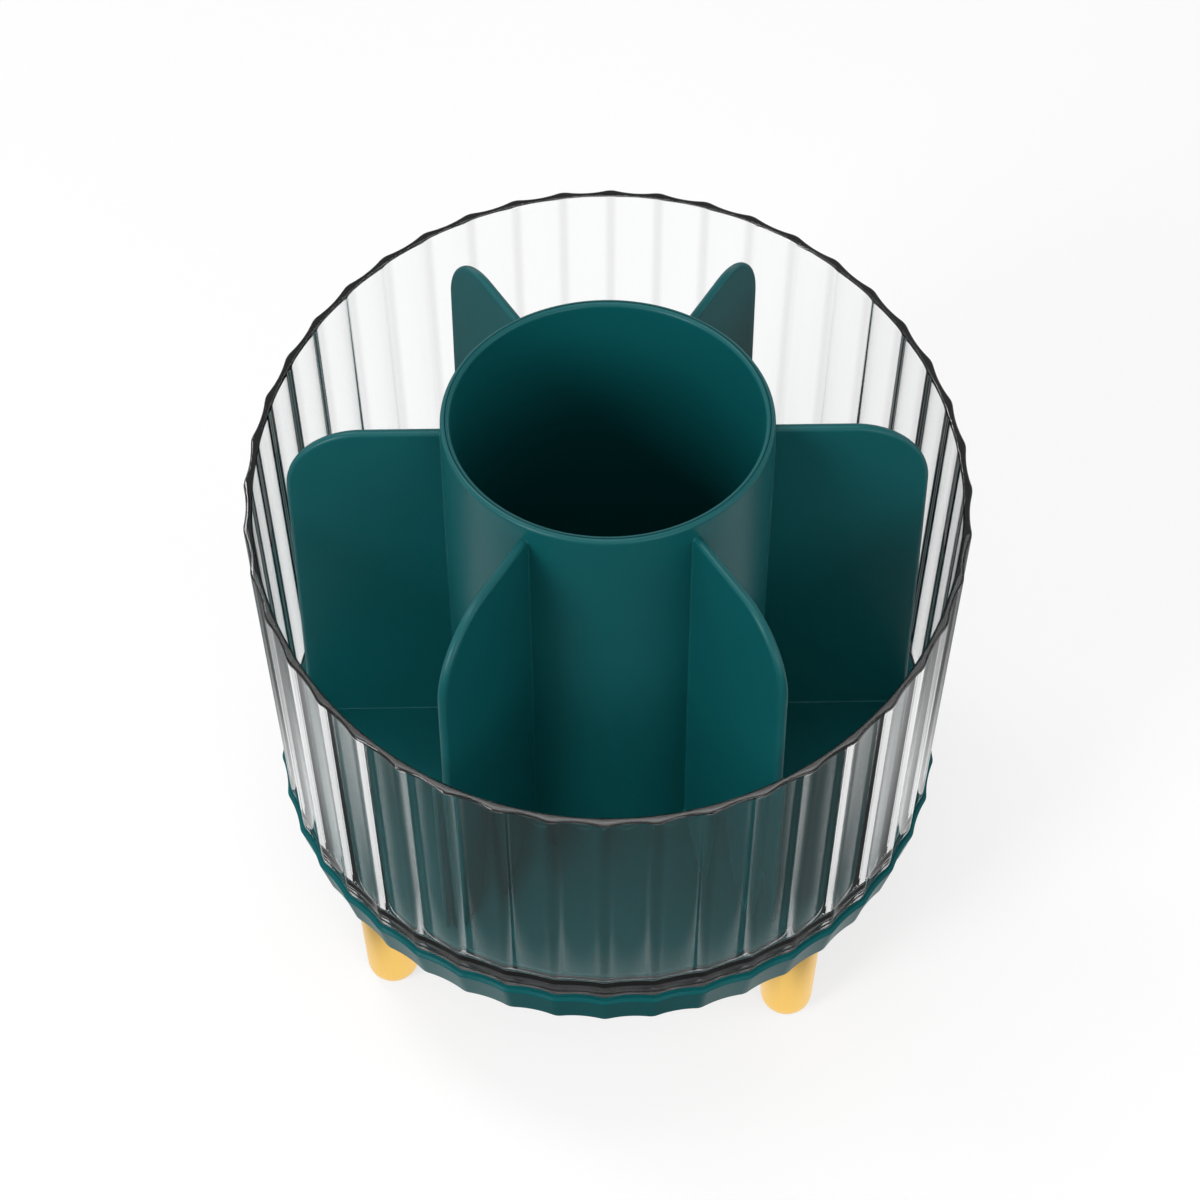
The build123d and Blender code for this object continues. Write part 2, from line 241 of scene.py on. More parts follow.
class FinishColours(bpy.types.PropertyGroup):
    """Colours of the finishes"""

    teal: colour("Teal", "Satin plastic of the base and the insert", (0.0035, 0.094, 0.101))
    teal_deep: colour("Deep teal", "The deeper tone that clouds the teal", (0.003, 0.083, 0.09))
    clear: colour("Clear", "Tint of the clear plastic", (0.99, 0.995, 0.995))
    # Painted shade: a grey that the clear plastic takes along each ridge
    painted_ridge_shade: colour("Clear ridge", "Tint of the clear plastic along a ridge", (0.87, 0.87, 0.87))
    clear_shade: colour("Clear shade", "Lamp light that one clear surface lets through", (0.67, 0.68, 0.68))
    gold: colour("Gold", "Satin plating of the feet", (0.97, 0.62, 0.15))
    gold_deep: colour("Deep gold", "The deeper tone that streaks the gold", (0.95, 0.595, 0.14))
    black: colour("Black", "Moulded plastic of the turntable", (0.012, 0.012, 0.013))
    white: colour("White", "Slippery plastic of the ball cage", (0.78, 0.78, 0.75))
    zinc: colour("Zinc", "Plating of the screws and the washer", (0.58, 0.59, 0.6))
    steel: colour("Steel", "Polished balls", (0.66, 0.67, 0.68))


class StageSizes(bpy.types.PropertyGroup):
    """Camera, floor and light"""

    camera_back: length("Camera distance", "How far in front of the axis the camera stands", 0.34676)
    camera_height: length("Camera height", "Height of the camera above the floor", 0.5063)
    camera_dip: angle("Camera dip", "Angle of the view below the horizon", radians(50.56))
    lens_mm: share("Lens", "Focal length on a sensor 36 wide", 75.0)
    shift_x: FloatProperty(name="Shift X", description="Sideways shift of the picture", default=-0.0065)
    shift_y: FloatProperty(name="Shift Y", description="Upward shift of the picture", default=0.0007)
    floor_size: length("Floor", "Side of the floor", 12.0)
    room_light: share("Room light", "Strength of the light from all round", 0.62)
    floor_glow: share("Floor glow", "Part of the floor's white that no shadow takes away", 0.72)
    clear_gain: share("Gain behind the tub", "White that the floor gains behind clear plastic", 0.08)
    floor_shade: share("Floor shade", "Part of the floor's white that follows the light", 0.29)
    floor_bounce: share("Floor bounce", "Part of its light that the floor scatters onto the object", 0.15)
    pool_inner: length("Pool", "Radius round the object within which gloss shows the floor white", 0.08)
    pool_outer: length("Pool edge", "Radius at which gloss shows the floor dim", 0.09)
    floor_gloss: share("Dim floor in gloss", "Strength of the floor that gloss shows where it is dim", 0.16)
    room_gloss: share("Room in gloss", "Strength of the room overhead that gloss shows", 0.6)
    horizon_gloss: share("Horizon in gloss", "Strength of the room's walls that gloss shows", 1.5)
    zenith_gloss: share("Zenith in gloss", "Strength of the room's ceiling that gloss shows", 2.5)
    zenith_share: share("Zenith", "Light from overhead, as a share of the room's light", 0.3)


# Surfaces


def column_angles(flutes):
    """Angles of one ring of points: every half flute has the same stops, which crowd towards its ridge."""
    half = np.array(HALF_FLUTE_SHARES)
    stops = np.concatenate([-half[::-1], half[1:-1]])
    middles = flutes.first_angle + (np.arange(flutes.count) + 0.5) * 2 * pi / flutes.count
    return (middles[:, None] + stops[None, :] * pi / flutes.count).ravel()


def fluted_radius(angles, flutes, ridge_radius, depth, ridge_round):
    """Distance from the axis of a ring of hollow flutes that meet in rounded ridges.

    A flute is an arc round a point outside the ring and a ridge an arc round a point inside it, and the
    two touch. Along a ray, the flute is the nearer root of its circle and the ridge the farther root of
    its own, and the ray through the touching point parts them.
    """
    half_pitch = pi / flutes.count
    valley = ridge_radius - depth
    inner = ridge_radius - ridge_round
    hollow = (valley**2 + inner**2 - ridge_round**2 - 2 * valley * inner * np.cos(half_pitch)) / (
        2 * (inner * np.cos(half_pitch) - valley + ridge_round)
    )
    outer = valley + hollow
    touch_share = ridge_round / (ridge_round + hollow)
    ridge_x = inner * np.cos(half_pitch)
    ridge_y = inner * np.sin(half_pitch)
    touch_angle = np.arctan2(ridge_y * (1 - touch_share), ridge_x + (outer - ridge_x) * touch_share)
    turn = np.abs((angles - flutes.first_angle) % (2 * half_pitch) - half_pitch)
    to_ridge = half_pitch - turn
    flute_root = np.sqrt(np.maximum(hollow**2 - (outer * np.sin(turn)) ** 2, 0))
    ridge_root = np.sqrt(np.maximum(ridge_round**2 - (inner * np.sin(to_ridge)) ** 2, 0))
    flute = outer * np.cos(turn) - flute_root
    ridge = inner * np.cos(to_ridge) + ridge_root
    return np.where(turn < touch_angle, flute, ridge)


def quarter(start, end):
    """Cosines and sines of an arc from one angle to another, both in quarter turns."""
    turn = np.linspace(start, end, ROUND_STEPS + 1) * pi / 2
    return np.cos(turn), np.sin(turn)


def rounded(corners):
    """A line through corners (x, z, radius), each rounded by the arc that touches both its runs.

    The arc's points are the spherical mean of its two end spokes, and one more point on each run, a fifth
    of the radius off, keeps the shading of the run flat.
    """
    places = np.array([corner[:2] for corner in corners], float)
    line = [places[:1]]
    for index in range(1, len(corners) - 1):
        radius = corners[index][2]
        here = places[index]
        back = places[index - 1] - here
        back = back / np.linalg.norm(back)
        ahead = places[index + 1] - here
        ahead = ahead / np.linalg.norm(ahead)
        opening = np.arccos(np.clip(back @ ahead, -1, 1))
        reach = radius / np.tan(opening / 2)
        middle = back + ahead
        centre = here + middle / np.linalg.norm(middle) * radius / np.sin(opening / 2)
        bend = pi - opening
        steps = np.linspace(0, 1, ROUND_STEPS + 1)[:, None]
        first_spoke = here + back * reach - centre
        last_spoke = here + ahead * reach - centre
        arc = (np.sin((1 - steps) * bend) * first_spoke + np.sin(steps * bend) * last_spoke) / np.sin(bend)
        margin = reach + radius / 5
        line += [(here + back * margin)[None], centre + arc, (here + ahead * margin)[None]]
    return np.concatenate(line + [places[-1:]])


def ring_points(radius, height, angles):
    """Points at a distance from the axis and a height, one row for each and one column for each angle."""
    radius, height = np.broadcast_arrays(radius, height)
    shape = (len(radius), len(angles))
    radius = np.broadcast_to(radius, shape)
    height = np.broadcast_to(height, shape)
    return np.stack([radius * np.cos(angles), radius * np.sin(angles), height], axis=-1)


def turned(profile, columns):
    """A profile of (radius, height) points carried round the axis."""
    angles = np.arange(columns) * 2 * pi / columns
    return ring_points(profile[:, :1], profile[:, 1:], angles)


def grid_faces(rows, columns, around):
    """Corner numbers of a grid's faces. Around joins its last column to its first."""
    row = np.arange(rows - 1)[:, None]
    column = np.arange(columns if around else columns - 1)[None, :]
    following = (column + 1) % columns
    corners = [row * columns + column, row * columns + following]
    corners += [(row + 1) * columns + following, (row + 1) * columns + column]
    return np.stack(np.broadcast_arrays(*corners), axis=-1).reshape(-1, 4)


def welded_mesh(name, grids):
    """One mesh from several (points, around) grids.

    Points that coincide become one, a face that loses a side becomes a triangle, and a face that loses
    more is dropped, so poles and seams close.
    """
    points = np.concatenate([grid.reshape(-1, 3) for grid, around in grids])
    starts = np.cumsum([0] + [grid.shape[0] * grid.shape[1] for grid, around in grids])
    faces = np.concatenate(
        [grid_faces(*grid.shape[:2], around) + start for (grid, around), start in zip(grids, starts)]
    )
    keys = np.round(points / WELD_LENGTH).astype(np.int64)
    places, numbers = np.unique(keys, axis=0, return_index=True, return_inverse=True)[1:]
    faces = numbers.ravel()[faces]
    lost = faces == np.roll(faces, -1, axis=1)
    sides_lost = lost.sum(axis=1)
    squares = faces[sides_lost == 0]
    triangles = faces[sides_lost == 1][~lost[sides_lost == 1]].reshape(-1, 3)
    mesh = bpy.data.meshes.new(name)
    mesh.from_pydata(points[places].tolist(), [], squares.tolist() + triangles.tolist(), shade_flat=False)
    mesh.set_sharp_from_angle(angle=SHARP_ANGLE)
    mesh.update()
    return mesh


def place(name, grids, material, body, node):
    """Puts a welded mesh into the scene in place of a packed node."""
    piece = bpy.data.objects.new(name, welded_mesh(name, grids))
    piece.data.materials.append(material)
    bpy.context.scene.collection.objects.link(piece)
    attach(piece, body)
    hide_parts(node)


# Shader sums


def math_node(operation, swapped=False):
    """A method that works a sum out with a Math node. Swapped puts the other value first."""

    def work_out(self, other):
        first, second = (other, self) if swapped else (self, other)
        return self.recipe.node("ShaderNodeMath", {0: first, 1: second}, operation=operation)

    return work_out


class Value:
    """A socket that can be used in sums. Each sum adds the Math node that works it out."""

    def __init__(self, recipe, socket):
        self.recipe = recipe
        self.socket = socket

    __add__ = math_node("ADD")
    __radd__ = math_node("ADD", swapped=True)
    __sub__ = math_node("SUBTRACT")
    __rsub__ = math_node("SUBTRACT", swapped=True)
    __mul__ = math_node("MULTIPLY")
    __truediv__ = math_node("DIVIDE")
    __pow__ = math_node("POWER")
    at_most = math_node("MINIMUM")
    at_least = math_node("MAXIMUM")
    arc_tangent = math_node("ARCTAN2")
    back_and_forth = math_node("PINGPONG")


class Recipe:
    """The nodes of one material or of the world, all added by one method."""

    def __init__(self, holder):
        holder.use_nodes = True
        self.holder = holder
        self.tree = holder.node_tree
        self.tree.nodes.clear()

    def node(self, kind, sockets, output=0, **settings):
        """Adds a node: its settings first, then the value or the link of each socket. Gives one output."""
        made = self.tree.nodes.new(kind)
        for name, value in settings.items():
            setattr(made, name, value)
        for name, value in sockets.items():
            if isinstance(value, Value):
                self.tree.links.new(value.socket, made.inputs[name])
            else:
                made.inputs[name].default_value = value
        return Value(self, made.outputs[output]) if made.outputs else None

    def object_place(self, stretch=(1, 1, 1)):
        """Object coordinates, stretched along the axes."""
        place_on_object = self.node("ShaderNodeTexCoord", {}, "Object")
        return self.node("ShaderNodeMapping", {"Vector": place_on_object, "Scale": stretch})

    def noise(self, where, per_metre, detail=2.0):
        """Soft noise between 0 and 1 with so many swells to the metre."""
        return self.node("ShaderNodeTexNoise", {"Vector": where, "Scale": per_metre, "Detail": detail}, "Fac")

    def ramp(self, value, start, end, first, last):
        """A number that goes softly from first to last while a value goes from start to end."""
        return self.node(
            "ShaderNodeMapRange",
            {"Value": value, "From Min": start, "From Max": end, "To Min": first, "To Max": last},
            interpolation_type="SMOOTHSTEP",
        )

    def mix(self, amount, first, second):
        """A colour between two colours, which are sockets 6 and 7 and output 2 of the Mix node."""
        return self.node("ShaderNodeMix", {0: amount, 6: first, 7: second}, 2, data_type="RGBA")

    def bump(self, height, strength, depth):
        """A normal that follows a height from 0 to 1 over so many metres."""
        return self.node("ShaderNodeBump", {"Strength": strength, "Distance": depth, "Height": height})

    def finish(self, shader):
        """Gives the material its shader, and hands it over."""
        self.node("ShaderNodeOutputMaterial", {"Surface": shader})
        return self.holder


def opaque(rgb):
    """A colour with full alpha."""
    return (*rgb, 1.0)


def finish_recipe(name):
    """The recipe of the material of that name, begun afresh."""
    return Recipe(bpy.data.materials.get(name) or bpy.data.materials.new(name))


def teal_plastic(name, gloss):
    """Satin moulded plastic: a fine even grain, and faint clouds in its colour and its gloss."""
    colours = bpy.context.scene.organizer_colours
    recipe = finish_recipe(name)
    where = recipe.object_place()
    clouds = recipe.noise(where, per_metre=45.0, detail=3.0)
    grain = recipe.noise(where, per_metre=2600.0)
    shader = recipe.node("ShaderNodeBsdfPrincipled", {
        "Base Color": recipe.mix(clouds, opaque(colours.teal), opaque(colours.teal_deep)),
        "Roughness": 0.3 + clouds * 0.06 + grain * 0.04,
        "Specular IOR Level": gloss,
        "Normal": recipe.bump(grain, strength=0.12, depth=0.00003),
    })
    return recipe.finish(shader)


def polished_clear(name):
    """Polished clear plastic with the faint waves of the mould, and painted shade that makes it a little
    greyer along its ridges.

    Light from the lamps passes through it.
    """
    colours = bpy.context.scene.organizer_colours
    flutes = bpy.context.scene.organizer_flutes
    recipe = finish_recipe(name)
    where = recipe.object_place()
    right = recipe.node("ShaderNodeSeparateXYZ", {0: where}, "X")
    behind = recipe.node("ShaderNodeSeparateXYZ", {0: where}, "Y")
    flutes_passed = (behind.arc_tangent(right) - flutes.first_angle) * (flutes.count / (2 * pi))
    # Painted shade: along each ridge the glass's colour turns from the clear tint to a grey
    ridge = recipe.ramp(flutes_passed.back_and_forth(0.5), *PAINTED_RIDGE_SHADE_SPAN, 1.0, 0.0)
    waves = recipe.noise(recipe.object_place(stretch=(1, 1, 0.25)), per_metre=70.0, detail=1.0)
    smears = recipe.noise(where, per_metre=160.0, detail=3.0)
    glass = recipe.node("ShaderNodeBsdfPrincipled", {
        "Base Color": recipe.mix(ridge, opaque(colours.clear), opaque(colours.painted_ridge_shade)),
        "Roughness": smears**3 * 0.04,
        "IOR": CLEAR_IOR,
        "Specular IOR Level": CLEAR_GLOSS,
        "Transmission Weight": 1.0,
        "Normal": recipe.bump(waves, strength=0.1, depth=0.0002),
    })
    open_air = recipe.node("ShaderNodeBsdfTransparent", {"Color": opaque(colours.clear_shade)})
    from_lamp = recipe.node("ShaderNodeLightPath", {}, "Is Shadow Ray")
    return recipe.finish(recipe.node("ShaderNodeMixShader", {0: from_lamp, 1: glass, 2: open_air}))


def gold_plating(name):
    """Satin gold plating with fine upright brush lines."""
    colours = bpy.context.scene.organizer_colours
    recipe = finish_recipe(name)
    brushing = recipe.noise(recipe.object_place(stretch=(1, 1, 0.04)), per_metre=2400.0)
    clouds = recipe.noise(recipe.object_place(), per_metre=120.0)
    shader = recipe.node("ShaderNodeBsdfPrincipled", {
        "Base Color": recipe.mix(brushing, opaque(colours.gold), opaque(colours.gold_deep)),
        "Metallic": 1.0,
        "Roughness": 0.3 + clouds * 0.06 + brushing * 0.05,
        "Normal": recipe.bump(brushing, strength=0.04, depth=0.00002),
    })
    return recipe.finish(shader)


def moulded(name, rgb, roughness):
    """Plain moulded plastic with a fine grain."""
    recipe = finish_recipe(name)
    where = recipe.object_place()
    grain = recipe.noise(where, per_metre=1800.0)
    clouds = recipe.noise(where, per_metre=60.0)
    deep = [MOULDED_DEEP_SHARE * part for part in rgb]
    shader = recipe.node("ShaderNodeBsdfPrincipled", {
        "Base Color": recipe.mix(clouds, opaque(rgb), opaque(deep)),
        "Roughness": roughness + grain * 0.08,
        "Normal": recipe.bump(grain, strength=0.15, depth=0.00004),
    })
    return recipe.finish(shader)


def bright_metal(name, rgb, roughness, unevenness):
    """Bare or plated metal whose gloss varies a little."""
    recipe = finish_recipe(name)
    where = recipe.object_place()
    patches = recipe.noise(where, per_metre=500.0, detail=3.0)
    deep = [METAL_DEEP_SHARE * part for part in rgb]
    shader = recipe.node("ShaderNodeBsdfPrincipled", {
        "Base Color": recipe.mix(patches, opaque(rgb), opaque(deep)),
        "Metallic": 1.0,
        "Roughness": roughness + patches * unevenness,
    })
    return recipe.finish(shader)


# Pieces


def tub_wall_rows(tub, flutes, angles):
    """Rings of the tub's wall: up the fluted outside, over the slanted rim and down the smooth inside.

    A ring lies at a share of the way from the lowest level to the slanted plane of the rim, and an edge's
    rings step off the wall's face by an arc. The wall leans out by the draft, so a ring's radius and the
    height of the rim above it depend on each other, and a few passes settle them.
    """
    back_height = tub_high.z - tub_low.z
    lean = tub.draft / back_height
    slope = (back_height - tub.front_height) / (2 * (tub.ridge_radius + tub.draft))
    rim_middle = tub_low.z + (back_height + tub.front_height) / 2
    floor_top = insert_low.z
    edge = tub.edge_round
    corner = tub.floor_round
    shares = np.array(WALL_SHARES)
    up_cos, up_sin = quarter(-1, 0)
    over_cos, over_sin = quarter(0, 1)
    steps = len(over_cos)

    def rings(level, step_in, step_up, low, outside):
        level, step_in, step_up = (part[:, None] for part in (level, step_in, step_up))
        radius = tub.ridge_radius
        for _ in range(RIM_PASSES):
            rim = rim_middle + slope * radius * np.sin(angles)
            height = low + level * (rim - low) + step_up
            grown = lean * (height - tub_low.z)
            if outside:
                face = fluted_radius(
                    angles, flutes, tub.ridge_radius + grown, tub.flute_depth, tub.ridge_round + grown
                )
            else:
                face = tub.ridge_radius - tub.wall + grown
            radius = face - step_in
        return radius, height

    outer = rings(
        np.concatenate([np.zeros(steps), shares, np.ones(steps)]),
        np.concatenate([edge - edge * up_cos, np.zeros(len(shares)), edge - edge * over_cos]),
        np.concatenate([edge + edge * up_sin, edge - 2 * edge * shares, edge * over_sin - edge]),
        tub_low.z,
        True,
    )
    inner = rings(
        np.concatenate([np.ones(steps), shares[::-1], np.zeros(steps)]),
        np.concatenate([edge * over_cos[::-1] - edge, np.zeros(len(shares)), corner - corner * over_cos]),
        np.concatenate([
            edge * over_sin[::-1] - edge,
            corner - (corner + edge) * shares[::-1],
            corner - corner * over_sin,
        ]),
        floor_top,
        False,
    )
    return np.concatenate([outer[0], inner[0]]), np.concatenate([outer[1], inner[1]])


def screw_sector(outer_ring, inner_ring, hole_place, hole_levels):
    """The part of a floor round one screw hole, top face, hole and under face in one grid.

    The grid's columns are rays from the hole to the sector's outline, which runs along its outer ring,
    across, back along its inner ring and across again. Its rows close in on the hole along the top, follow
    the hole's (radius, height) levels down and spread out again below.
    """
    across = np.linspace(0, 1, SECTOR_SIDE_POINTS)[1:-1, None]
    end_side = outer_ring[-1] + (inner_ring[-1] - outer_ring[-1]) * across
    start_side = inner_ring[0] + (outer_ring[0] - inner_ring[0]) * across
    outline = np.concatenate([outer_ring, end_side, inner_ring[::-1], start_side])
    ray = outline - hole_place
    ray = ray / np.linalg.norm(ray, axis=1, keepdims=True)
    levels = [(share_out, *hole_levels[0]) for share_out in SECTOR_SHARES]
    levels += [(0, *level) for level in hole_levels]
    levels += [(share_out, *hole_levels[-1]) for share_out in reversed(SECTOR_SHARES)]
    rows = []
    for share_out, radius, height in levels:
        at_hole = hole_place + ray * radius
        flat = at_hole + (outline - at_hole) * share_out
        rows.append(np.column_stack([flat, np.full(len(flat), height)]))
    return np.stack(rows)


class ORGANIZER_OT_tub(bpy.types.Operator):
    """Makes the clear fluted tub with its slanted rim, its skirt and its holed floor"""

    bl_idname = "organizer.tub"
    bl_label = "Clear tub"

    def execute(self, context):
        tub = context.scene.organizer_tub
        flutes = context.scene.organizer_flutes
        angles = column_angles(flutes)
        floor_top = insert_low.z
        floor_under = plate_high.z + tub.seat_gap
        skirt_radius = tub.ridge_radius - tub.skirt_wall
        inner_radius = tub.ridge_radius - tub.wall
        edge = tub.edge_round
        wall_radius, wall_height = tub_wall_rows(tub, flutes, angles)
        screw_circle = (screws_high.x - screws_low.x) / 2 - tub.screw_sink
        ring_gap = screw_circle / 2
        outer_ring = screw_circle + ring_gap
        inner_ring = screw_circle - ring_gap
        top_radius = np.linspace(wall_radius[-1, 0], outer_ring, OUTER_FLOOR_RINGS)
        skirt = rounded([
            (outer_ring, floor_under, 0),
            (skirt_radius, floor_under, edge),
            (skirt_radius, tub_low.z, edge),
            (inner_radius, tub_low.z, 0),
        ])
        underside = np.stack([np.full(len(angles), inner_radius), wall_radius[0]])
        grids = [
            (ring_points(wall_radius, wall_height, angles), True),
            (ring_points(top_radius[:, None], floor_top, angles), True),
            (ring_points(skirt[:, :1], skirt[:, 1:], angles), True),
            (ring_points(underside, wall_height[:1], angles), True),
        ]
        for height, sense in ((floor_top, -1), (floor_under, 1)):
            radius = np.linspace(0, inner_ring, INNER_FLOOR_RINGS)[::sense]
            grids.append((ring_points(radius[:, None], height, angles), True))
        span = len(angles) // SCREW_COUNT
        first = int(np.argmax(np.cos(angles + pi / SCREW_COUNT)))
        sink_depth = tub.screw_sink - tub.screw_hole
        hole_levels = [
            (tub.screw_sink, floor_top),
            (tub.screw_hole, floor_top - sink_depth),
            (tub.screw_hole, floor_under),
        ]
        for number in range(SCREW_COUNT):
            columns = np.arange(first + number * span, first + (number + 1) * span + 1) % len(angles)
            ways = np.stack([np.cos(angles[columns]), np.sin(angles[columns])], axis=-1)
            turn = number * 2 * pi / SCREW_COUNT
            hole_place = screw_circle * np.array([np.cos(turn), np.sin(turn)])
            grids.append((screw_sector(ways * outer_ring, ways * inner_ring, hole_place, hole_levels), True))
        material = polished_clear("polished_clear")
        place("fluted_tub", grids, material, "carousel", "clear_tub")
        return {"FINISHED"}


def flare(distance, radius):
    """How far a rounded foot stands out of a wall at a distance from it: a quarter circle that ends flat."""
    left = np.clip(radius - distance, 0, radius)
    return radius - np.sqrt(radius**2 - left**2)


def fin_grids(insert, floor_top, tube_top):
    """The closed skin of one fin along the X axis: two sides, a rounded free edge and two hidden ends.

    Its outline leans in from the floor to an arc and runs level back to the tube. The sides stop short of
    the outline by the edge's radius, and a half round joins them. They swell where they meet the tube and
    the floor.
    """
    bottom = floor_top - insert.floor / 2
    top = tube_top - insert.fin_drop
    root = insert.tube_radius - insert.tube_wall / 2
    edge = insert.fin_round
    lean = (insert.fin_foot_reach - insert.fin_top_reach) / (top - bottom)
    facing = np.array([1, lean]) / np.hypot(1, lean)
    corner_z = top - insert.fin_corner
    corner_x = insert.fin_foot_reach - lean * (corner_z - bottom) - insert.fin_corner * np.hypot(1, lean)
    turn = np.linspace(atan2(facing[1], facing[0]), pi / 2, FIN_CORNER_POINTS)
    swell_stops = np.array(SWELL_SHARES) * insert.root_round
    arc_normal = np.stack([np.cos(turn), np.sin(turn)], axis=-1)
    arc_foot = np.array([corner_x, corner_z]) + (insert.fin_corner - edge) * arc_normal
    plain_rise = np.linspace(floor_top, arc_foot[0, 1], FIN_RISE_POINTS)[1:-1]
    rise = np.concatenate([[bottom], floor_top + swell_stops, plain_rise])
    straight_x = arc_foot[0, 0] + lean * (arc_foot[0, 1] - rise)
    foot_x = np.concatenate([straight_x, arc_foot[:, 0]])[:, None]
    foot_z = np.concatenate([rise, arc_foot[:, 1]])[:, None]
    tube_face = insert.tube_radius + insert.tube_draft * (tube_top - foot_z) / (tube_top - floor_top)
    near = tube_face + swell_stops[None, :]
    far = near[:, -1:] + (foot_x - near[:, -1:]) * np.linspace(0, 1, FIN_REACH_POINTS)[None, 1:]
    side_x = np.concatenate([np.full_like(foot_x, root), near, far], axis=1)
    side_z = np.broadcast_to(foot_z, side_x.shape)
    half = insert.fin_thickness / 2 + flare(side_x - tube_face, insert.root_round)
    half = half + flare(side_z - floor_top, insert.root_round)
    side = np.stack([side_x, half, side_z], axis=-1)

    path = np.concatenate([side[:, -1], side[-1, -2::-1]])
    normals = np.concatenate([
        np.broadcast_to(facing, (len(rise), 2)), arc_normal, np.broadcast_to((0, 1), (side.shape[1] - 1, 2))
    ])
    swing = np.linspace(0, pi / 2, ROUND_STEPS + 1)[:, None]
    round_half = np.stack([
        path[:, 0] + edge * np.sin(swing) * normals[:, 0],
        path[:, 1] - edge + edge * np.cos(swing),
        path[:, 2] + edge * np.sin(swing) * normals[:, 1],
    ], axis=-1)
    mirror = np.array([1, -1, 1])
    strip = np.concatenate([round_half, round_half[::-1] * mirror])
    root_half = np.concatenate([side[:, 0], round_half[1:, -1]])
    bottom_half = np.concatenate([side[0], round_half[1:, 0]])
    return [
        side[:, ::-1],
        side * mirror,
        strip,
        np.stack([root_half, root_half * mirror], axis=1),
        np.stack([bottom_half * mirror, bottom_half], axis=1),
    ]


class ORGANIZER_OT_insert(bpy.types.Operator):
    """Makes the divider insert: a turned floor and tube, and fins set round the tube"""

    bl_idname = "organizer.insert"
    bl_label = "Divider insert"

    def execute(self, context):
        insert = context.scene.organizer_insert
        floor_radius = (insert_high.x - insert_low.x) / 2
        under = insert_low.z + insert.seat_gap
        floor_top = insert_low.z + insert.floor
        bore = insert.tube_radius - insert.tube_wall
        body = rounded([
            (0, under, 0),
            (floor_radius, under, insert.floor_round),
            (floor_radius, floor_top, insert.edge_round),
            (insert.tube_radius + insert.tube_draft, floor_top, insert.root_round),
            (insert.tube_radius, insert_high.z, insert.tube_round),
            (bore, insert_high.z, insert.tube_round),
            (bore, floor_top, insert.root_round),
            (0, floor_top, 0),
        ])
        grids = [(turned(body, TURNED_COLUMNS), True)]
        fin = fin_grids(insert, floor_top, insert_high.z)
        for number in range(insert.fin_count):
            turn = insert.fin_angle + number * 2 * pi / insert.fin_count
            ahead = np.array([np.cos(turn), np.sin(turn), 0])
            aside = np.array([-np.sin(turn), np.cos(turn), 0])
            axes = np.stack([ahead, aside, [0, 0, 1]])
            grids += [(grid @ axes, False) for grid in fin]
        material = teal_plastic("teal_plastic", TEAL_GLOSS)
        place("divider_moulding", grids, material, "insert", "divider_insert")
        return {"FINISHED"}


class ORGANIZER_OT_base(bpy.types.Operator):
    """Makes the fluted base tray with its bevelled shoulder, its ball track and its pivot hub"""

    bl_idname = "organizer.base"
    bl_label = "Base tray"

    def execute(self, context):
        base = context.scene.organizer_base
        flutes = context.scene.organizer_flutes
        angles = column_angles(flutes)
        bottom = base_low.z
        top = base_high.z
        floor_top = bottom + base.floor
        foot_ridge = base.top_ridge_radius - base.taper
        middle_radius = (base.inner_radius + base.top_ridge_radius) / 2
        outside = rounded([
            (base.inner_radius, bottom, 0),
            (foot_ridge, bottom, base.edge_round),
            (base.top_ridge_radius, top - base.bevel, base.shoulder_round),
            (base.top_ridge_radius - base.bevel, top, base.shoulder_round),
            (middle_radius, top, 0),
        ])[1:-1]
        track_out = base.track_radius + base.track_half_width
        track_in = base.track_radius - base.track_half_width
        track_top = floor_top + base.track_height
        groove_middle = floor_top + base.groove_height
        dip = np.arcsin((groove_middle - track_top) / base.groove_radius)
        swing = np.linspace(-dip, dip - pi, GROOVE_POINTS)
        groove = np.stack([
            base.track_radius + base.groove_radius * np.cos(swing),
            groove_middle + base.groove_radius * np.sin(swing),
        ], axis=-1)
        soft = base.inner_round
        inside = np.concatenate([
            rounded([
                (middle_radius, top, 0),
                (base.inner_radius, top, soft),
                (base.inner_radius, floor_top, soft),
                (track_out, floor_top, soft),
                (track_out, track_top, soft),
                (*groove[0], 0),
            ])[1:-1],
            groove,
            rounded([
                (*groove[-1], 0),
                (track_in, track_top, soft),
                (track_in, floor_top, soft),
                (base.hub_radius, floor_top, soft),
                (base.hub_radius, floor_top + base.hub_height, soft),
                (base.bore, floor_top + base.hub_height, soft),
                (base.bore, bottom, soft),
                (foot_ridge, bottom, 0),
            ])[1:-1],
        ])
        wall = fluted_radius(angles, flutes, outside[:, :1], base.flute_depth, base.ridge_round)
        plain = np.broadcast_to(inside[:, :1], (len(inside), len(angles)))
        radius = np.concatenate([wall, plain, wall[:1]])
        height = np.concatenate([outside[:, 1:], inside[:, 1:], outside[:1, 1:]])
        grids = [(ring_points(radius, height, angles), True)]
        material = teal_plastic("matt_teal_plastic", MATT_TEAL_GLOSS)
        place("fluted_base", grids, material, "base", "base_tray")
        return {"FINISHED"}


class ORGANIZER_OT_feet(bpy.types.Operator):
    """Makes the four gold feet, turned from one profile"""

    bl_idname = "organizer.feet"
    bl_label = "Feet"

    def execute(self, context):
        sizes = context.scene.organizer_feet
        material = gold_plating("gold_plating")
        for node in FOOT_NODES:
            low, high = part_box(node)
            top_radius = (high.x - low.x) / 2
            profile = rounded([
                (0, low.z, 0),
                (sizes.end_radius, low.z, sizes.end_round),
                (top_radius, high.z, sizes.top_round),
                (0, high.z, 0),
            ])
            middle = np.array([(low.x + high.x) / 2, (low.y + high.y) / 2, 0])
            grids = [(turned(profile, FOOT_COLUMNS) + middle, True)]
            place(f"gold_{node}", grids, material, "base", node)
        return {"FINISHED"}


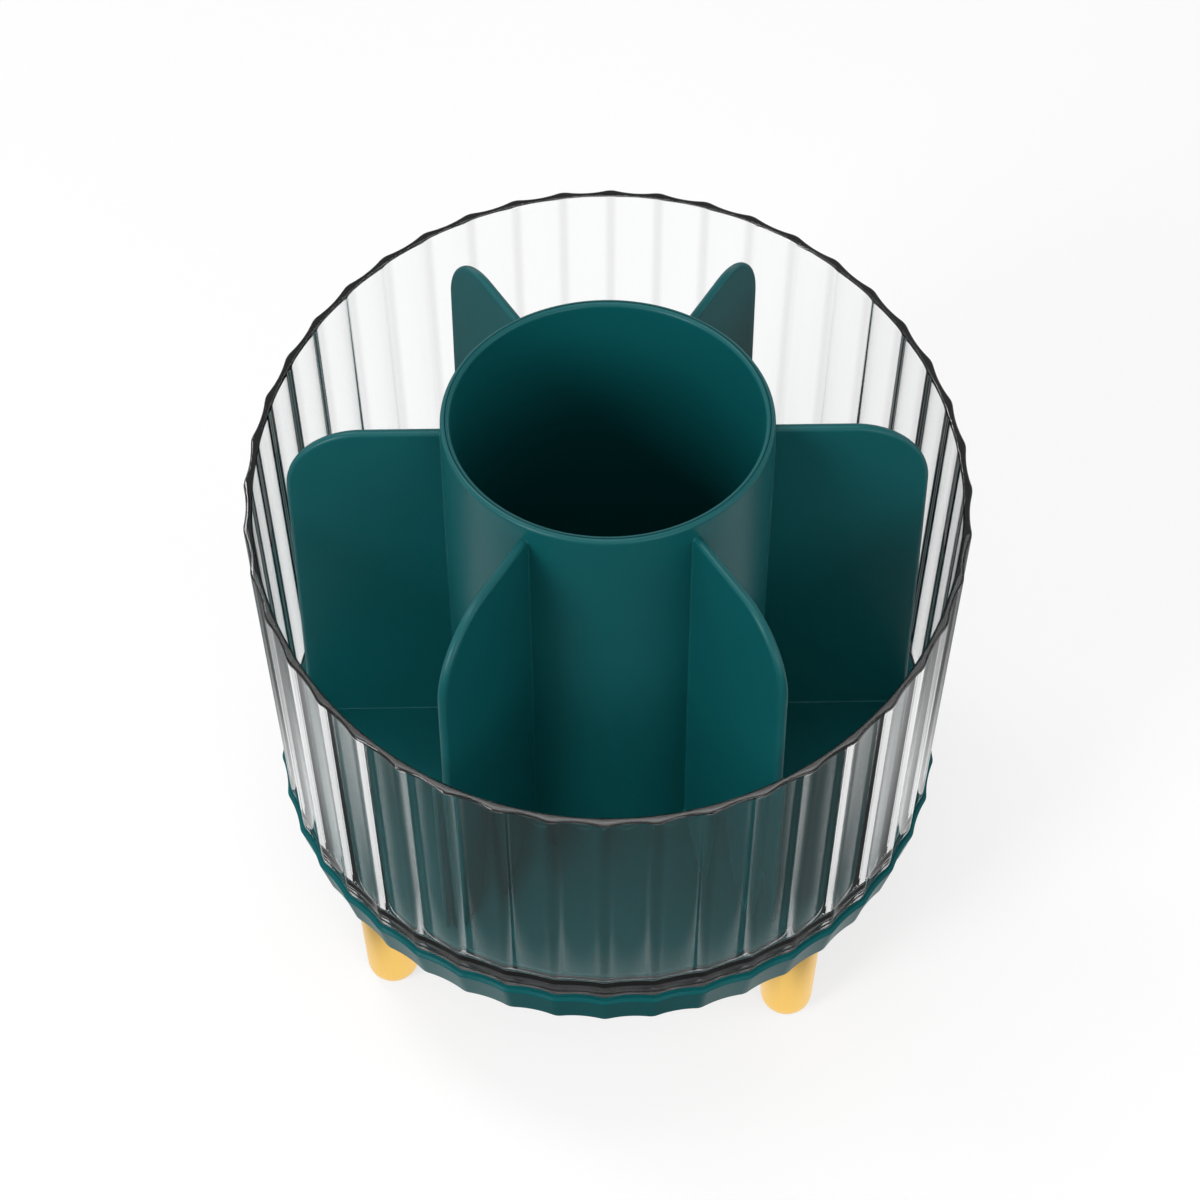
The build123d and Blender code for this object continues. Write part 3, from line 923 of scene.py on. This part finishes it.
class ORGANIZER_OT_works(bpy.types.Operator):
    """Finishes the turntable, the ball ring and the fasteners"""

    bl_idname = "organizer.works"
    bl_label = "Turntable and fasteners"

    def execute(self, context):
        colours = context.scene.organizer_colours
        black = moulded("moulded_black", colours.black, roughness=0.35)
        white = moulded("moulded_white", colours.white, roughness=0.4)
        steel = bright_metal("polished_steel", colours.steel, roughness=0.05, unevenness=0.05)
        zinc = bright_metal("zinc_plating", colours.zinc, roughness=0.22, unevenness=0.15)
        finishes = {
            "turntable_plate": black,
            "ball_cage": white,
            "bearing_balls": steel,
            "foot_screws": zinc,
            "turntable_screws": zinc,
            "pivot_screw": zinc,
            "pivot_washer": zinc,
        }
        for node, material in finishes.items():
            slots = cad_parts[node].data.materials
            slots.clear()
            slots.append(material)
        return {"FINISHED"}


# Stage


def lamp(name, place_at, look_at, wide, high, power):
    """A soft rectangular lamp that faces a point. Its light passes the tub straight, and once."""
    light = bpy.data.lights.new(name, "AREA")
    light.shape = "RECTANGLE"
    light.size = wide
    light.size_y = high
    light.energy = power
    holder = bpy.data.objects.new(name, light)
    holder.visible_transmission = False
    holder.location = place_at
    holder.rotation_euler = (Vector(look_at) - Vector(place_at)).to_track_quat("-Z", "Y").to_euler()
    bpy.context.scene.collection.objects.link(holder)


def light_path(recipe, output):
    """One output of a Light Path node, cut off at 1."""
    return recipe.node("ShaderNodeLightPath", {}, output).at_most(1.0)


def shown_in_gloss(recipe):
    """1 for what gloss shows to the camera, also through clear plastic, else 0."""
    return light_path(recipe, "Glossy Depth") * (1 - light_path(recipe, "Diffuse Depth"))


def seen_directly(recipe):
    """1 for what the camera sees, straight or through clear plastic, else 0."""
    plain = (1 - light_path(recipe, "Diffuse Depth")) * (1 - light_path(recipe, "Glossy Depth"))
    seen = light_path(recipe, "Is Camera Ray") + light_path(recipe, "Is Transmission Ray")
    return seen.at_most(1.0) * plain


def floor_material(name):
    """A pale floor that looks white under the light and keeps the shadows.

    In gloss it is white close to the object and at its sides, and dim in front and behind. Through clear
    plastic, gloss shows the white reach farther.
    """
    stage = bpy.context.scene.organizer_stage
    recipe = finish_recipe(name)
    where = recipe.object_place()
    from_middle = recipe.node("ShaderNodeVectorMath", {0: where}, "Value", operation="LENGTH")
    bearing = recipe.node("ShaderNodeSeparateXYZ", {0: where}, "Y") / from_middle
    pool = recipe.ramp(from_middle, stage.pool_inner, stage.pool_outer, 1.0, 0.0)
    through = light_path(recipe, "Transmission Depth")
    pool = pool * recipe.ramp(bearing, *POOL_FRONT, 0.0, 1.0)
    front = recipe.ramp(bearing, *SIDE_FRONT, 0.0, 1.0)
    close = recipe.ramp(from_middle, *CLEAR_POOL_EDGE, 1.0, 0.0)
    front = front.at_least(through * close.at_least(recipe.ramp(bearing, *CLEAR_SIDE_FRONT, 0.0, 1.0)))
    back = recipe.ramp(bearing, *SIDE_BACK, 1.0, 0.0).at_least(through * CLEAR_BACK_WHITE)
    bright = pool.at_least(front.at_most(back))
    gloss_strength = stage.floor_gloss + bright * (1 - stage.floor_gloss)
    plain = recipe.node("ShaderNodeBsdfDiffuse", {"Color": opaque([stage.floor_bounce] * 3)})
    shade = recipe.node("ShaderNodeBsdfDiffuse", {"Color": opaque([stage.floor_shade] * 3)})
    glow_strength = stage.floor_glow + through * stage.clear_gain
    glow = recipe.node("ShaderNodeEmission", {"Color": WHITE, "Strength": glow_strength})
    white = recipe.node("ShaderNodeAddShader", {0: shade, 1: glow})
    to_eye = recipe.node("ShaderNodeMixShader", {0: seen_directly(recipe), 1: plain, 2: white})
    mirrored = recipe.node("ShaderNodeEmission", {"Color": WHITE, "Strength": gloss_strength})
    in_gloss = shown_in_gloss(recipe)
    return recipe.finish(recipe.node("ShaderNodeMixShader", {0: in_gloss, 1: to_eye, 2: mirrored}))


def light_room(stage):
    """A white room: full white where it is seen, and a plain level of light on the object.

    Its light passes the tub as lamp light does, so scattered rays that go through clear plastic add none.
    """
    world = bpy.data.worlds.new("white_room")
    bpy.context.scene.world = world
    recipe = Recipe(world)
    way = recipe.node("ShaderNodeTexCoord", {}, "Generated")
    rise = recipe.node("ShaderNodeSeparateXYZ", {0: way}, "Z")
    overhead = recipe.ramp(rise, *OVERHEAD_RISE, 1.0, stage.zenith_share)
    mirrored = recipe.ramp(rise, *WALL_RISE, stage.horizon_gloss, stage.room_gloss)
    mirrored = mirrored + recipe.ramp(rise, *ZENITH_RISE, 0.0, stage.zenith_gloss)
    in_gloss = shown_in_gloss(recipe)
    through = light_path(recipe, "Is Transmission Ray")
    scattered = light_path(recipe, "Diffuse Depth")
    seen = seen_directly(recipe)
    lit = (1 - in_gloss) * (1 - seen) * (1 - through * scattered)
    strength = seen + in_gloss * mirrored + lit * overhead * stage.room_light
    room = recipe.node("ShaderNodeBackground", {"Color": WHITE, "Strength": strength})
    recipe.node("ShaderNodeOutputWorld", {"Surface": room})


class ORGANIZER_OT_stage(bpy.types.Operator):
    """Makes the floor, the lamps, the room and the camera"""

    bl_idname = "organizer.stage"
    bl_label = "Stage"

    def execute(self, context):
        scene = context.scene
        stage = scene.organizer_stage
        half = stage.floor_size / 2
        corners = np.array([[(-half, -half, 0), (half, -half, 0)], [(-half, half, 0), (half, half, 0)]])
        floor = bpy.data.objects.new("floor", welded_mesh("floor", [(corners, False)]))
        floor.data.materials.append(floor_material("pale_floor"))
        scene.collection.objects.link(floor)

        middle = (cad_low + cad_high) / 2
        for name, (place_at, wide, high, power) in LAMPS.items():
            lamp(name, place_at, middle, wide, high, power)
        light_room(stage)

        camera = bpy.data.objects.new("camera", bpy.data.cameras.new("camera"))
        camera.data.lens = stage.lens_mm
        camera.data.shift_x = stage.shift_x
        camera.data.shift_y = stage.shift_y
        camera.location = (0, -stage.camera_back, stage.camera_height)
        camera.rotation_euler = (pi / 2 - stage.camera_dip, 0, 0)
        scene.collection.objects.link(camera)
        scene.camera = camera
        scene.view_settings.view_transform = "Standard"
        return {"FINISHED"}


# Panel and registration

OPERATORS = (
    ORGANIZER_OT_tub,
    ORGANIZER_OT_insert,
    ORGANIZER_OT_base,
    ORGANIZER_OT_feet,
    ORGANIZER_OT_works,
    ORGANIZER_OT_stage,
)
SETTINGS = {
    "organizer_flutes": FluteSizes,
    "organizer_tub": TubSizes,
    "organizer_insert": InsertSizes,
    "organizer_base": BaseSizes,
    "organizer_feet": FootSizes,
    "organizer_colours": FinishColours,
    "organizer_stage": StageSizes,
}


class ORGANIZER_PT_panel(bpy.types.Panel):
    """Lists the organizer's pieces and their sizes"""

    bl_label = "Brush organizer"
    bl_idname = "ORGANIZER_PT_panel"
    bl_space_type = "VIEW_3D"
    bl_region_type = "UI"
    bl_category = "Organizer"

    def draw(self, context):
        for operator in OPERATORS:
            self.layout.operator(operator.bl_idname)
        for name, group in SETTINGS.items():
            box = self.layout.box()
            box.label(text=group.__doc__)
            for setting in group.__annotations__:
                box.prop(getattr(context.scene, name), setting)


def register():
    for group in SETTINGS.values():
        bpy.utils.register_class(group)
    for name, group in SETTINGS.items():
        setattr(bpy.types.Scene, name, PointerProperty(type=group))
    for operator in OPERATORS:
        bpy.utils.register_class(operator)
    bpy.utils.register_class(ORGANIZER_PT_panel)


def unregister():
    bpy.utils.unregister_class(ORGANIZER_PT_panel)
    for operator in reversed(OPERATORS):
        bpy.utils.unregister_class(operator)
    for name in SETTINGS:
        delattr(bpy.types.Scene, name)
    for group in SETTINGS.values():
        bpy.utils.unregister_class(group)


def main():
    register()
    bpy.ops.organizer.tub()
    bpy.ops.organizer.insert()
    bpy.ops.organizer.base()
    bpy.ops.organizer.feet()
    bpy.ops.organizer.works()
    bpy.ops.organizer.stage()


if __name__ == "__main__":
    main()
